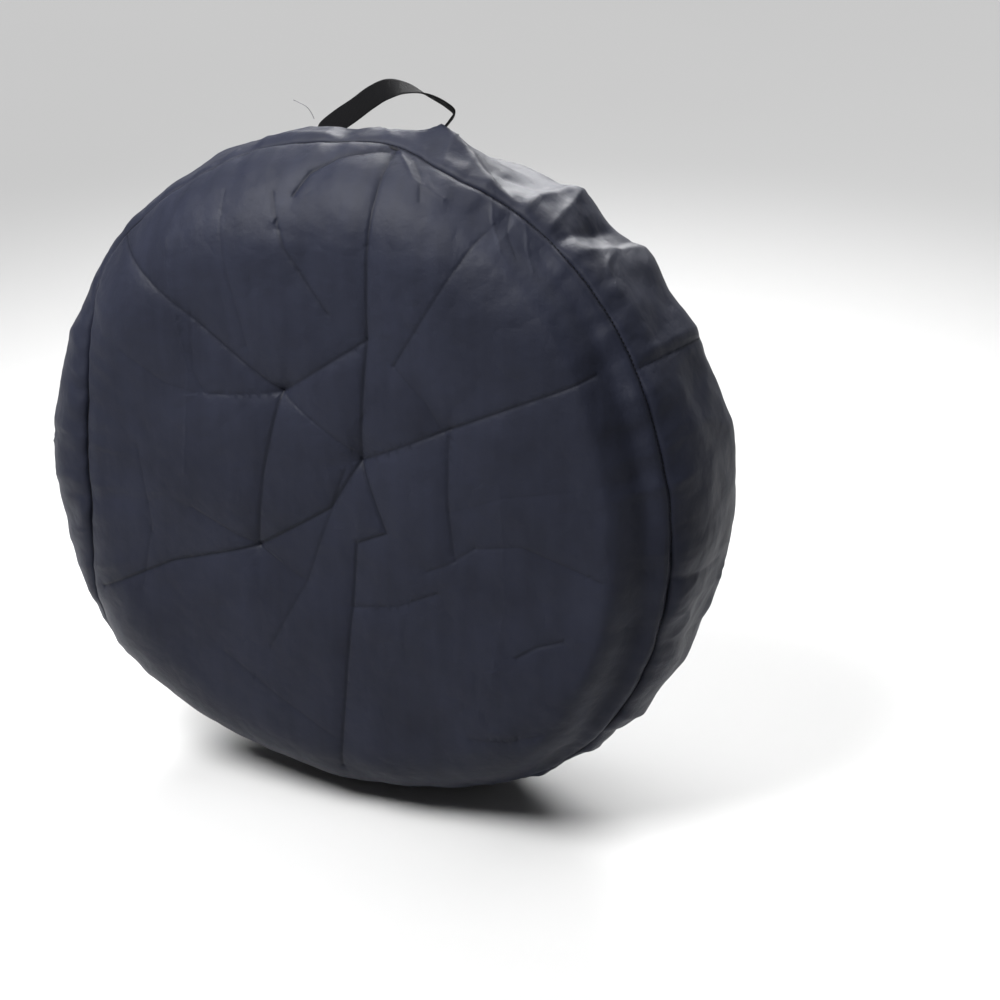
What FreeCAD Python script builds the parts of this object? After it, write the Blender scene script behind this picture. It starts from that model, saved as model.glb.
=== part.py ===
"""Spare tyre cover: a round sewn cloth bag that slips over a wheel, with a webbing carrying handle.

The cover is modelled as it stands on its tread with a wheel inside. The wheel's axis runs along Y,
the flat front panel faces -Y, the elastic opening faces +Y and the handle stands on top.
Origin: the bottom centre of the cover, on the floor. Units are millimetres.
"""

import FreeCAD, Part
import math
import os

Vector = FreeCAD.Vector

# Overall shape of the filled cover
cover_diameter = 650.0  # over the tread band
cover_depth = 222.0  # flat front face to flat back face
shoulder_radius = 84.0  # rounding from each face to the tread band
floor_sink = 6.0  # how much of the round is flattened where the cover stands
cloth = 1.2  # one layer of coated cloth

# Front seam, where the round panel meets the side wall
seam_angle = 49.0  # degrees round the front shoulder, from the flat face
seam_allowance = 11.0  # cloth turned inside the seam
overlock_width = 6.0  # overlocked edge of the two allowances
overlock_thickness = 0.8

# Closing seam, where the two ends of the side wall strip meet
closing_seam_at = 29.0  # degrees above the horizontal, on the +X side
closing_seam_width = 20.0  # both allowances, opened flat

# Rear opening
opening_diameter = 300.0  # inside the gathered hem
casing_width = 17.0  # hem casing, across the cloth
casing_height = 8.0  # hem casing, through the cloth
elastic_width = 10.0
elastic_thickness = 2.0
elastic_overlap = 25.0  # where the two ends of the elastic are sewn together

# Carrying handle
strap_width = 25.0
strap_thickness = 1.6
handle_span = 144.0  # between the two roots, along X
handle_setback = 16.0  # middle of the strap behind the middle of the tread band
handle_rise = 46.0  # top of the loop above the tread band
handle_eave = 0.45  # share of the loop's rise at which it turns inwards
handle_bend = 0.45  # share of its straight runs that each bend of the loop takes up
tab_length = 32.0  # sewn end of the strap, flat on the tread band
patch_margin = 7.0  # inner patch beyond the sewn tab, each way

# Sewing
thread = 0.9
stitch_inset = 3.5  # box stitching inside the edge of a tab

# Clearances
layer_gap = 0.1  # between layers of cloth that lie together
pivot_gap = 0.6  # under the rounded ends of the handle loop
elastic_gap = 0.3  # elastic to casing, each side

# Worked out from the sizes above
radius = cover_diameter / 2
half_depth = cover_depth / 2
shoulder_centre_r = radius - shoulder_radius
shoulder_centre_y = half_depth - shoulder_radius
casing_bulge = (casing_height - cloth) / 2  # casing behind the back face
axis_height = radius - floor_sink
opening_radius = opening_diameter / 2
tab_lift = radius + layer_gap  # underside of a sewn tab, from the axis
tab_top = tab_lift + strap_thickness
root_inner = handle_span / 2 - strap_thickness  # inner face of a leg of the handle loop
root_height = math.sqrt(tab_top**2 - root_inner**2)  # top of a tab beside that leg, above the axis
pivot_height = root_height + pivot_gap + strap_width / 2  # handle's hinge line, above the axis
FRONT, BACK = -1, 1
AXLE = Vector(0, 1, 0)
TO_FRAME = Vector(0, -casing_bulge / 2, axis_height)


def shoulder_point(side, inset, angle):
    """A point inset beneath a shoulder; 0 degrees is at the flat face and 90 at the tread band."""
    reach = shoulder_radius - inset
    turn = math.radians(angle)
    return Vector(
        shoulder_centre_r + reach * math.sin(turn),
        side * (shoulder_centre_y + reach * math.cos(turn)),
        0,
    )


def shoulder_arc(side, inset, start, stop):
    ends = (start, (start + stop) / 2, stop)
    return Part.Arc(*[shoulder_point(side, inset, a) for a in ends]).toShape()


def shoulder_degrees(length, inset=0.0):
    """The angle of an arc of that length on the shoulder."""
    return math.degrees(length / (shoulder_radius - inset))


def joined(edges):
    """One closed wire from edges in order, with straight runs across any step between them."""
    whole = []
    for edge, after in zip(edges, edges[1:] + edges[:1]):
        whole.append(edge)
        a, b = edge.lastVertex(True).Point, after.firstVertex(True).Point
        if a.distanceToPoint(b) > 1e-6:
            whole.append(Part.makeLine(a, b))
    return Part.Wire(whole)


def backwards(edges):
    """The same run of lines and arcs, walked the other way."""
    turned = []
    for edge in reversed(edges):
        a, b = edge.lastVertex(True).Point, edge.firstVertex(True).Point
        if edge.Curve.TypeId == "Part::GeomLine":
            turned.append(Part.makeLine(a, b))
        else:
            middle = edge.valueAt((edge.FirstParameter + edge.LastParameter) / 2)
            turned.append(Part.Arc(a, middle, b).toShape())
    return turned


def spun(wire, degrees=360.0, start=0.0):
    """The solid that a closed section sweeps round the wheel's axis; start is measured from +X towards +Z."""
    solid = Part.Face(wire).revolve(Vector(), AXLE, -degrees)
    solid.rotate(Vector(), AXLE, -start)
    return solid


def placed(solid):
    solid.translate(TO_FRAME)
    return solid


def panel_section():
    """Half section of the round front panel, with its allowance turned in under the side wall."""
    deep = 2 * cloth + 2 * layer_gap
    step = shoulder_degrees(cloth)
    lap_end = seam_angle + shoulder_degrees(seam_allowance)
    outer = [
        Part.makeLine(Vector(0, -half_depth, 0), Vector(shoulder_centre_r, -half_depth, 0)),
        shoulder_arc(FRONT, 0, 0, seam_angle),
        shoulder_arc(FRONT, deep, seam_angle, lap_end),
    ]
    inner = [
        Part.makeLine(
            Vector(0, cloth - half_depth, 0), Vector(shoulder_centre_r, cloth - half_depth, 0)
        ),
        shoulder_arc(FRONT, cloth, 0, seam_angle - step),
        shoulder_arc(FRONT, deep + cloth, seam_angle - step, lap_end),
    ]
    return joined(outer + backwards(inner))


def wall_run(inset, start, hem_radius):
    """The side wall's line at an inset, from an angle on the front shoulder to the hem."""
    tread = radius - inset
    back = half_depth - inset
    return [
        shoulder_arc(FRONT, inset, start, 90),
        Part.makeLine(Vector(tread, -shoulder_centre_y, 0), Vector(tread, shoulder_centre_y, 0)),
        shoulder_arc(BACK, inset, 90, 0),
        Part.makeLine(Vector(shoulder_centre_r, back, 0), Vector(hem_radius, back, 0)),
    ]


def wall_section():
    """Half section of the side wall, folded back on itself under the front seam."""
    start = seam_angle + shoulder_degrees(layer_gap)
    fold = start + shoulder_degrees(cloth)
    lap_end = seam_angle + shoulder_degrees(seam_allowance)
    under = cloth + layer_gap
    edge_radius = opening_radius + casing_width + layer_gap
    lap = [
        shoulder_arc(FRONT, under + cloth, start, lap_end),
        shoulder_arc(FRONT, under, lap_end, fold),
    ]
    outer = wall_run(0, start, edge_radius)
    inner = wall_run(cloth, fold, edge_radius)
    return joined(backwards(outer) + lap + inner)


def obround(centre_r, centre_y, width, height):
    """A rounded slot section, long way across the wheel's radius."""
    run, cap = (width - height) / 2, height / 2
    left, right = centre_r - run, centre_r + run
    return Part.Wire([
        Part.makeLine(Vector(left, centre_y - cap, 0), Vector(right, centre_y - cap, 0)),
        Part.Arc(
            Vector(right, centre_y - cap, 0),
            Vector(right + cap, centre_y, 0),
            Vector(right, centre_y + cap, 0),
        ).toShape(),
        Part.makeLine(Vector(right, centre_y + cap, 0), Vector(left, centre_y + cap, 0)),
        Part.Arc(
            Vector(left, centre_y + cap, 0),
            Vector(left - cap, centre_y, 0),
            Vector(left, centre_y - cap, 0),
        ).toShape(),
    ])


def rectangle(r0, r1, y0, y1):
    corners = [Vector(r0, y0, 0), Vector(r1, y0, 0), Vector(r1, y1, 0), Vector(r0, y1, 0)]
    return Part.makePolygon(corners + corners[:1])


def filled_cover():
    """The whole outside of the cover as one solid."""
    outer = [
        Part.makeLine(Vector(0, -half_depth, 0), Vector(shoulder_centre_r, -half_depth, 0)),
        *wall_run(0, 0, 0),
    ]
    return spun(joined(outer))


def ground_block(top):
    """Everything below a height above the floor plane, measured from the axle."""
    size = 2 * cover_diameter
    return Part.makeBox(size, size, size, Vector(-size / 2, -size / 2, top - axis_height - size))


def front_panel():
    return placed(spun(panel_section()))


def casing_centre():
    return opening_radius + casing_width / 2, half_depth - cloth / 2


def wall_cloth():
    """The strip that goes round the tread band and over the back, flattened where it stands."""
    flat = filled_cover().common(ground_block(cloth)).cut(ground_block(0))
    return spun(wall_section()).cut(ground_block(0)).fuse(flat).removeSplitter()


def behind_tread():
    """Everything behind the flat of the tread band."""
    size = 2 * cover_diameter
    return Part.makeBox(size, size, size, Vector(-size / 2, shoulder_centre_y, -size / 2))


def side_wall():
    """The strip's front part: front shoulder and tread band."""
    return placed(wall_cloth().cut(behind_tread()))


def back_skirt():
    """The strip's rear part: back shoulder and back face, up to the hem."""
    return placed(wall_cloth().common(behind_tread()))


def hem_casing():
    """The strip's inner edge, turned over into a tube for the elastic."""
    centre_r, centre_y = casing_centre()
    casing = spun(obround(centre_r, centre_y, casing_width, casing_height))
    bore = obround(centre_r, centre_y, casing_width - 2 * cloth, casing_height - 2 * cloth)
    return placed(casing.cut(spun(bore)))


def front_seam_overlock():
    """Overlocked edge round both allowances, inside the front seam."""
    lap_end = seam_angle + shoulder_degrees(seam_allowance)
    width = shoulder_degrees(overlock_width)
    wrap = lap_end + shoulder_degrees(overlock_thickness)
    top = cloth + layer_gap
    under = 3 * cloth + 3 * layer_gap
    edges = [
        shoulder_arc(FRONT, under + overlock_thickness, lap_end - width, wrap),
        shoulder_arc(FRONT, top, wrap, lap_end + shoulder_degrees(layer_gap)),
        shoulder_arc(FRONT, under, lap_end + shoulder_degrees(layer_gap), lap_end - width),
    ]
    return placed(spun(joined(edges)))


def front_seam_thread():
    lift = thread / 2 + layer_gap / 2
    centre = shoulder_point(FRONT, -lift, seam_angle)
    return placed(spun(Part.Wire(Part.makeCircle(thread / 2, centre, Vector(0, 0, 1)))))


def inner_strip(start, stop, thickness):
    """Half section of a strip lying inside the tread band and the back shoulder."""
    near = cloth + layer_gap
    far = near + thickness

    def run(inset):
        tread = radius - inset
        return [
            shoulder_arc(FRONT, inset, start, 90),
            Part.makeLine(
                Vector(tread, -shoulder_centre_y, 0), Vector(tread, shoulder_centre_y, 0)
            ),
            shoulder_arc(BACK, inset, 90, stop),
        ]

    return joined(run(near) + backwards(run(far)))


def wall_seam_overlock():
    """Opened allowances of the strip's closing seam, inside the wall."""
    lap_end = seam_angle + shoulder_degrees(seam_allowance + overlock_thickness + 2 * layer_gap)
    swing = math.degrees(closing_seam_width / radius)
    strip = inner_strip(lap_end, 0, overlock_thickness)
    return placed(spun(strip, swing, closing_seam_at - swing / 2))


def wall_seam_thread():
    """Stitch line of the closing seam, standing on the wall from the front seam to the back face."""
    lift = thread / 2 + layer_gap
    reach = shoulder_radius + lift
    start = math.radians(seam_angle + shoulder_degrees(2 * thread))
    middle = (start + math.pi / 2) / 2

    def at(side, turn):
        return Vector(
            shoulder_centre_r + reach * math.sin(turn),
            side * (shoulder_centre_y + reach * math.cos(turn)),
            0,
        )

    flank = [at(FRONT, start), at(FRONT, middle), at(FRONT, math.pi / 2)]
    rear = [at(BACK, math.pi / 2), at(BACK, math.pi / 4), at(BACK, 0)]
    path = Part.Wire([
        Part.Arc(*flank).toShape(),
        Part.makeLine(flank[-1], rear[0]),
        Part.Arc(*rear).toShape(),
    ])
    tangent = Vector(math.cos(start), math.sin(start), 0)
    end = Part.Wire(Part.makeCircle(thread / 2, flank[0], tangent))
    line = path.makePipeShell([end], True, False)
    line.rotate(Vector(), AXLE, -closing_seam_at)
    return placed(line)


def hem_elastic():
    """Flat elastic ring in the hem casing, with its sewn overlap at the bottom."""
    centre_r, centre_y = casing_centre()
    r0, r1 = centre_r - elastic_width / 2, centre_r + elastic_width / 2
    room = casing_height / 2 - cloth - elastic_gap
    y0 = centre_y - room
    ring = spun(rectangle(r0, r1, y0, y0 + elastic_thickness))
    swing = math.degrees(elastic_overlap / centre_r)
    top = min(y0 + 2 * elastic_thickness, centre_y + room)
    lap = spun(rectangle(r0, r1, y0, top), swing, 90 - swing / 2)
    return placed(ring.fuse(lap).removeSplitter())


def hem_thread():
    """Ring of stitching that closes the hem casing, on the back face."""
    centre_r = opening_radius + casing_width + 2 * thread
    centre = Vector(centre_r, half_depth + thread / 2 + layer_gap, 0)
    return placed(spun(Part.Wire(Part.makeCircle(thread / 2, centre, Vector(0, 0, 1)))))


def root_degrees():
    """Angle of a handle root from +X towards +Z, for the root on the +X side."""
    return math.degrees(math.acos(handle_span / 2 / tab_top))


def set_back(solid):
    """Places a piece that was made about the middle of the tread band at the strap's own line."""
    solid.translate(Vector(0, handle_setback, 0))
    return placed(solid)


def on_side(solid, side):
    """The piece made for the +X side, or its mirror image."""
    return solid if side > 0 else solid.mirror(Vector(), Vector(1, 0, 0))


def handle_tab(side):
    """Sewn end of the strap, lying on the tread band inboard of its root."""
    section = rectangle(tab_lift, tab_top, -strap_width / 2, strap_width / 2)
    swing = math.degrees(tab_length / tab_lift)
    return set_back(on_side(spun(section, swing, root_degrees()), side))


def handle_patch(side):
    """Square of cloth inside the wall that takes the pull of a sewn tab, shaped to the wall's inside."""
    reach = strap_width / 2 + patch_margin
    margin = math.degrees(patch_margin / tab_lift)
    swing = math.degrees(tab_length / tab_lift) + 2 * margin
    lining = spun(inner_strip(seam_angle, 0, cloth), swing, root_degrees() - margin)
    size = 2 * cover_diameter
    across = Part.makeBox(size, 2 * reach, size, Vector(-size / 2, handle_setback - reach, 0))
    return placed(on_side(lining.common(across), side))


def handle_thread(side):
    """Box stitching on a tab: four sides and the two diagonals of the cross."""
    low = tab_top + layer_gap
    high = low + thread
    reach = strap_width / 2 - stitch_inset
    inset = math.degrees(stitch_inset / tab_top)
    swing = math.degrees(tab_length / tab_lift) - 2 * inset
    width = math.degrees(thread / tab_top)
    start = root_degrees() + inset
    sides = [
        spun(rectangle(low, high, -reach, thread - reach), swing, start),
        spun(rectangle(low, high, reach - thread, reach), swing, start),
        spun(rectangle(low, high, -reach, reach), width, start),
        spun(rectangle(low, high, -reach, reach), width, start + swing - width),
    ]
    middle = math.radians(start + swing / 2)
    run = math.radians(swing) * tab_top
    for turn in (1, -1):
        bar = Part.makeBox(
            math.hypot(run, 2 * reach) - thread,
            thread,
            thread,
            Vector(-math.hypot(run, 2 * reach) / 2 + thread / 2, -thread / 2, 0),
        )
        bar.rotate(Vector(), Vector(0, 0, 1), turn * math.degrees(math.atan2(2 * reach, run)))
        bar.translate(Vector(0, 0, low))
        bar.rotate(Vector(), AXLE, 90 - math.degrees(middle))
        sides.append(bar)
    box = sides[0].fuse(sides[1:])
    return set_back(on_side(box.removeSplitter(), side))


def rounded_path(points, corner_radii):
    """Straight runs through points in the XZ plane, joined by tangent arcs."""
    edges, here = [], points[0]
    for before, corner, after, bend in zip(points, points[1:], points[2:], corner_radii):
        back, ahead = (before - corner).normalize(), (after - corner).normalize()
        half_turn = back.getAngle(ahead) / 2
        setback = bend / math.tan(half_turn)
        start, end = corner + back * setback, corner + ahead * setback
        towards = (back + ahead).normalize()
        middle = corner + towards * (bend / math.sin(half_turn) - bend)
        edges.append(Part.makeLine(here, start))
        edges.append(Part.Arc(start, middle, end).toShape())
        here = end
    edges.append(Part.makeLine(here, points[-1]))
    return Part.Wire(edges)


def handle_loop():
    """The free loop of the strap. Its two lower ends are rounded about the hinge line."""
    root_x = handle_span / 2 - strap_thickness / 2
    lower = pivot_height - strap_width / 2
    top = radius + handle_rise - strap_thickness / 2
    eave = pivot_height + (top - pivot_height) * handle_eave
    points = [
        Vector(-root_x, 0, lower),
        Vector(-root_x, 0, eave),
        Vector(-root_x / 2, 0, top),
        Vector(root_x / 2, 0, top),
        Vector(root_x, 0, eave),
        Vector(root_x, 0, lower),
    ]
    side = points[2].distanceToPoint(points[1])
    tight, wide = handle_bend * (eave - lower), handle_bend * side
    path = rounded_path(points, [tight, wide, wide, tight])
    section = rectangle(
        -root_x - strap_thickness / 2, strap_thickness / 2 - root_x, -strap_width / 2, strap_width / 2
    )
    section.translate(Vector(0, 0, lower))
    loop = path.makePipeShell([section], True, False)
    below = Part.makeBox(
        2 * handle_span, 2 * strap_width, strap_width, Vector(-handle_span, -strap_width, lower)
    )
    below.translate(Vector(0, 0, pivot_height - lower - strap_width))
    ends = Part.makeCylinder(
        strap_width / 2, 2 * handle_span, Vector(-handle_span, 0, pivot_height), Vector(1, 0, 0)
    )
    return set_back(loop.cut(below.cut(ends)))


def main():
    parts = {
        "front_panel": front_panel(),
        "side_wall": side_wall(),
        "back_skirt": back_skirt(),
        "hem_casing": hem_casing(),
        "front_seam_overlock": front_seam_overlock(),
        "front_seam_thread": front_seam_thread(),
        "wall_seam_overlock": wall_seam_overlock(),
        "wall_seam_thread": wall_seam_thread(),
        "hem_elastic": hem_elastic(),
        "hem_thread": hem_thread(),
        "handle_loop": handle_loop(),
    }
    for name, side in (("left", -1), ("right", 1)):
        parts["handle_tab_" + name] = handle_tab(side)
        parts["handle_patch_" + name] = handle_patch(side)
        parts["handle_thread_" + name] = handle_thread(side)
    os.makedirs("parts", exist_ok=True)
    for name, shape in parts.items():
        shape.exportStep(f"parts/{name}.step")
        box = shape.optimalBoundingBox(True, False)
        print(
            f"{name}: {len(shape.Solids)} solid(s), valid {shape.isValid()}, {shape.Volume:.0f} mm3, "
            f"x {box.XMin:.1f} to {box.XMax:.1f}, y {box.YMin:.1f} to {box.YMax:.1f}, "
            f"z {box.ZMin:.1f} to {box.ZMax:.1f}"
        )
    pivot_y = TO_FRAME.y + handle_setback
    print(f"handle hinge line: y {pivot_y:.3f}, z {pivot_height + axis_height:.3f}")


main()
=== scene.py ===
"""Spare tire cover, dressed over its frame: cloth, webbing, stitching, finishes and a studio stage.

Lengths are metres in the frame's axes: the wheel's axle runs along Y, the front panel faces -Y and +Z is
up. Places on the cloth are given by an angle round the axle, from +X towards +Z, and by a run, the distance
along the outside of the cover from the middle of the front face.
"""

import math

import bpy
import numpy as np
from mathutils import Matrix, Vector, noise


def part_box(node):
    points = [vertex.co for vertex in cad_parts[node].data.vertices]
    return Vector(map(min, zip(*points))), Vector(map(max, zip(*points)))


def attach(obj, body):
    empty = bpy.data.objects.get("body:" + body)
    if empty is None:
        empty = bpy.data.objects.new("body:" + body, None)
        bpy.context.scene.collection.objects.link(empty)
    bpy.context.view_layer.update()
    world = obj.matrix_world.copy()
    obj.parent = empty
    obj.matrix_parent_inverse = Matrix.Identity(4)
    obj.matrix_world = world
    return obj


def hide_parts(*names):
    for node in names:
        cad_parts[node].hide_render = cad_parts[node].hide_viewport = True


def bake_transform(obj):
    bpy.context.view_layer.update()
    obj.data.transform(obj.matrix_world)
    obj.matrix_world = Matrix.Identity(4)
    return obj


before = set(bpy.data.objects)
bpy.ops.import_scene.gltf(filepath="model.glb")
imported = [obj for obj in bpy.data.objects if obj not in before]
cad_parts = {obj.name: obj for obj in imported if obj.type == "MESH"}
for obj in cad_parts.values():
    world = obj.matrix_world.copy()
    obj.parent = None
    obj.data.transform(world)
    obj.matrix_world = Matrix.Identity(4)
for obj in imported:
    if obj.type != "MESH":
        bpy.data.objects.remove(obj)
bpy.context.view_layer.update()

bl_info = {
    "name": "Spare tire cover",
    "version": (1, 0, 0),
    "blender": (4, 5, 0),
    "location": "3D View > Sidebar > Tire cover",
    "description": "Dresses the frame of a spare tire cover in cloth, webbing and stitching",
    "category": "Object",
}

MM = 0.001

# The frame's own sizes and places
WALL_LOW, WALL_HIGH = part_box("side_wall")
_, SKIRT_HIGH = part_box("back_skirt")
PANEL_LOW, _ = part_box("front_panel")
HEM_LOW, HEM_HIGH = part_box("hem_casing")
LOOP_LOW, LOOP_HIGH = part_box("handle_loop")
TAB_LOW, TAB_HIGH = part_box("handle_tab_right")
RADIUS = (WALL_HIGH.x - WALL_LOW.x) / 2
AXLE_Z = WALL_HIGH.z - RADIUS
CREST = AXLE_Z + RADIUS  # top of the tread
MID_Y = (PANEL_LOW.y + SKIRT_HIGH.y) / 2
DEPTH = SKIRT_HIGH.y - PANEL_LOW.y
HEM_RADIUS = (HEM_HIGH.x - HEM_LOW.x) / 2
HEM_MIDDLE = (HEM_LOW.y + HEM_HIGH.y) / 2
HANDLE_Y = (LOOP_LOW.y + LOOP_HIGH.y) / 2

# The cloth's own layout
SHOULDER = 0.084  # rounding from each face to the tread band
FLAT = RADIUS - SHOULDER  # run to the edge of the flat front face
QUARTER = SHOULDER * math.pi / 2  # run round one shoulder
TREAD = DEPTH - 2 * SHOULDER  # run across the tread
TREAD_MIDDLE = FLAT + QUARTER + TREAD / 2  # run to the tread's middle
BACK_EDGE = FLAT + 2 * QUARTER + TREAD  # run to the edge of the flat back face
HEM_RUN = BACK_EDGE + FLAT - HEM_RADIUS  # run to the hem
GATHER_RUN = 0.47  # run where the back skirt's gathers begin
GRID = 150  # squares along each side of the front panel's cloth, before its creases are refined
COLUMNS = 900  # points round each ring of the side wall's cloth
ROWS = 54  # rings of points from the front seam to the hem
FINE_REACH = 5.0  # millimetres beside a crease where the panel's mesh is finer
JOIN_GAP = 1e-6  # points closer than this are one
ROW_STEP = 0.01  # between rings of the plain tube that the side wall starts from

# The closing seam, where the strip's two ends meet: it leans a little over the tread
CLOSING_ANGLE = 31.4  # at the front seam
CLOSING_LEAN = 3.8  # degrees that it leans over its fold
CLOSING_FOLD = 0.328  # run where its fold begins
CLOSING_LENGTH = 0.142  # its fold's length
CLOSING_END = 0.58  # run where its stitches stop
CLOSING_ALLOWANCE_END = 0.548  # run where its overlocked edges stop

# The stage
FLOOR_SIZE = 60  # each way
SENSOR_WIDTH = 36  # of the camera, in millimetres

# Depths, lifts and insets
SEAM_DIP = 0.0026  # least dip of the cloth at the front seam
SEAM_HUSH = 0.012  # beside the front seam, where the stitches hold the cloth smooth
RING_DEPTH = 0.0034  # middle of the front seam's allowance, inside the cloth
STRIP_DEPTH = 0.0030  # middle of the closing seam's allowance, inside the cloth
PATCH_DEPTH = 0.0018  # lining patches, inside the cloth
TAB_LIFT = 0.0014  # middle of a sewn strap end, off the cloth
TAB_INSET = 0.0035  # box stitching, in from a strap end's edges
BOX_LIFT = 0.0011  # box stitching, off the middle of the strap
BOX_PITCH = 0.0029  # from one stitch of the box stitching to the next

# Front seam: angle round the axle, degrees of shoulder that the panel covers, depth sunk in the cloth.
# The cover sits a little twisted on its wheel, so the seam runs nearer the crest on top.
SEAM_STATIONS = [
    (0, 52, 3), (14, 53, 3), (32, 60, 3), (48, 69, 3), (61, 74, 3), (75, 76, 3), (85, 88, 2),
    (96, 83, 2), (107, 83, 2), (119, 73, 2), (129, 68, 2), (138, 63, 3), (145, 49, 6), (151, 38, 10),
    (162, 21, 12), (175, 15, 12), (189, 19, 12), (200, 34, 10), (207, 46, 7), (216, 60, 4),
    (235, 78, 3), (265, 80, 3), (295, 74, 3), (312, 66, 3), (325, 58, 3), (343, 54, 3),
]

# Outline of the filled cover against a true round: angle, run, half spreads, and how far it stands out
BULGES = [
    (84, 0.392, 12, 0.018, 5.5),
    (102, 0.388, 10, 0.018, 3.0),
    (102, 0.442, 12, 0.030, -14.0),
    (76, 0.440, 11, 0.028, -15.0),
    (91, 0.480, 20, 0.030, -9.0),
    (122, 0.440, 10, 0.050, 4.0),
    (57, 0.430, 4, 0.060, 2.5),
    (50, 0.430, 4, 0.060, -4.0),
    (42, 0.440, 4, 0.045, 5.0),
    (30, 0.430, 5, 0.060, 5.0),
    (8, 0.420, 12, 0.080, 8.0),
    (333, 0.410, 7, 0.060, 6.0),
    (250, 0.330, 28, 0.080, -9.0),
    (285, 0.330, 24, 0.080, -12.0),
    (217, 0.345, 17, 0.080, 12.0),
    (162, 0.390, 14, 0.060, -12.0),
]

# Packing creases in the front panel: points across and up from its middle, in millimetres, then the
# crease's depth and the half width of the dip beside it
PANEL_CREASES = [
    (
        [(40, 365), (40, 330), (40, 300), (35, 170), (25, 55), (-5, 5), (-80, -45), (-170, -75),
         (-255, -120)],
        2.6, 16,
    ),
    ([(25, 55), (105, 95), (245, 165)], 2.6, 18),
    ([(110, 90), (110, 30), (115, -20)], 1.6, 10),
    ([(-235, 240), (-140, 175), (-50, 110)], 2.2, 14),
    ([(-50, 110), (25, 60)], 1.0, 8),
    ([(-50, 110), (35, 170)], 2.0, 12),
    ([(-50, 110), (-70, 30), (-80, -45)], 2.2, 14),
    ([(-120, 100), (-50, 110)], 1.5, 8),
    ([(25, 55), (50, -10), (20, -25), (15, -85), (5, -180), (-5, -270)], 2.2, 12),
    ([(15, -90), (60, -80), (100, -60)], 1.6, 9),
    ([(175, -110), (195, -95), (220, -85)], 1.8, 10),
    ([(90, -40), (110, -30), (135, -10)], 1.2, 8),
    ([(135, -10), (180, 0), (255, -20)], 1.0, 9),
    ([(130, -205), (165, -200), (200, -185)], 1.2, 9),
    ([(40, 365), (20, 355), (-10, 340), (-30, 320), (-40, 295)], 3.4, 14),
    ([(-60, 295), (-40, 245), (0, 190)], 1.8, 18),
    ([(140, 280), (100, 215), (60, 150)], 1.7, 26),
    ([(-80, -45), (-145, -15)], 1.0, 9),
    ([(-80, -45), (-35, -70)], 1.0, 9),
    ([(10, 45), (-30, -70), (-70, -145)], 1.3, 22),
    ([(-160, 240), (-140, 120), (-150, 20)], -0.8, 20),
    ([(-200, 40), (-190, -40), (-205, -110)], 0.8, 14),
    ([(60, 150), (90, 120), (105, 95)], 0.8, 8),
    ([(45, 360), (70, 320), (100, 305)], -1.8, 10),
    ([(60, 350), (75, 325), (80, 300)], 1.2, 8),
    ([(140, 320), (145, 295), (155, 265)], -1.2, 10),
    ([(160, 305), (160, 285), (170, 260)], 0.8, 8),
    ([(175, 295), (180, 270), (185, 250)], -0.8, 9),
    ([(-135, 175), (-135, 120), (-125, 100)], 0.7, 9),
    ([(-210, 130), (-165, 105), (-135, 100)], 0.6, 9),
    ([(110, 20), (165, 45), (225, 60)], 0.5, 12),
    ([(-110, 290), (-95, 220), (-80, 150)], 0.6, 14),
    ([(160, 60), (165, -60), (150, -150)], -0.7, 26),
    ([(-120, -160), (-60, -200), (-10, -230)], 0.9, 18),
]

# Folds in the side wall: angle and run at each end, height (below zero for a valley) and half width
WALL_FOLDS = [
    (79.6, 0.403, 66, 0.358, 8.5, 10),
    (79.6, 0.403, 71, 0.420, 3.5, 14),
    (69, 0.376, 62.8, 0.361, -5.0, 8),
    (68, 0.386, 62, 0.402, -5.0, 11),
    (61.5, 0.364, 58.5, 0.450, 5.0, 9),
    (57.5, 0.450, 56.2, 0.358, 4.0, 8),
    (60, 0.400, 57, 0.460, 2.0, 10),
    (54, 0.356, 50, 0.440, -5.0, 10),
    (50, 0.366, 44.6, 0.462, 5.0, 9),
    (47.5, 0.420, 46.5, 0.470, -4.0, 7),
    (33.2, 0.328, 29.4, 0.470, 2.0, 7),
    (CLOSING_ANGLE, CLOSING_FOLD, 27.6, 0.470, -3.4, 2.2),
    (20, 0.360, 12, 0.470, 2.5, 14),
    (-4, 0.318, -6, 0.400, -3.5, 7),
    (-8, 0.330, -12, 0.440, 3.0, 12),
    (-17, 0.330, -20, 0.430, -3.0, 10),
    (-33, 0.326, -36, 0.420, 5.0, 9),
    (-38, 0.322, -42, 0.420, -4.5, 8),
    (-44, 0.330, -47, 0.420, 5.0, 8),
    (-50, 0.330, -52, 0.420, -3.5, 8),
    (-56, 0.335, -57, 0.430, 3.5, 9),
    (95, 0.372, 108, 0.380, 3.0, 7),
    (98, 0.400, 120, 0.420, 3.5, 12),
    (150, 0.290, 164, 0.380, 2.4, 8),
    (172, 0.270, 178, 0.360, -2.0, 8),
    (192, 0.280, 200, 0.370, 2.4, 9),
]

# Round the two places where the handle pulls: angle, run, height, half width in millimetres
TENTS = [(79.6, 0.403, 10.0, 19), (101, 0.402, 3.0, 14)]

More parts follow.
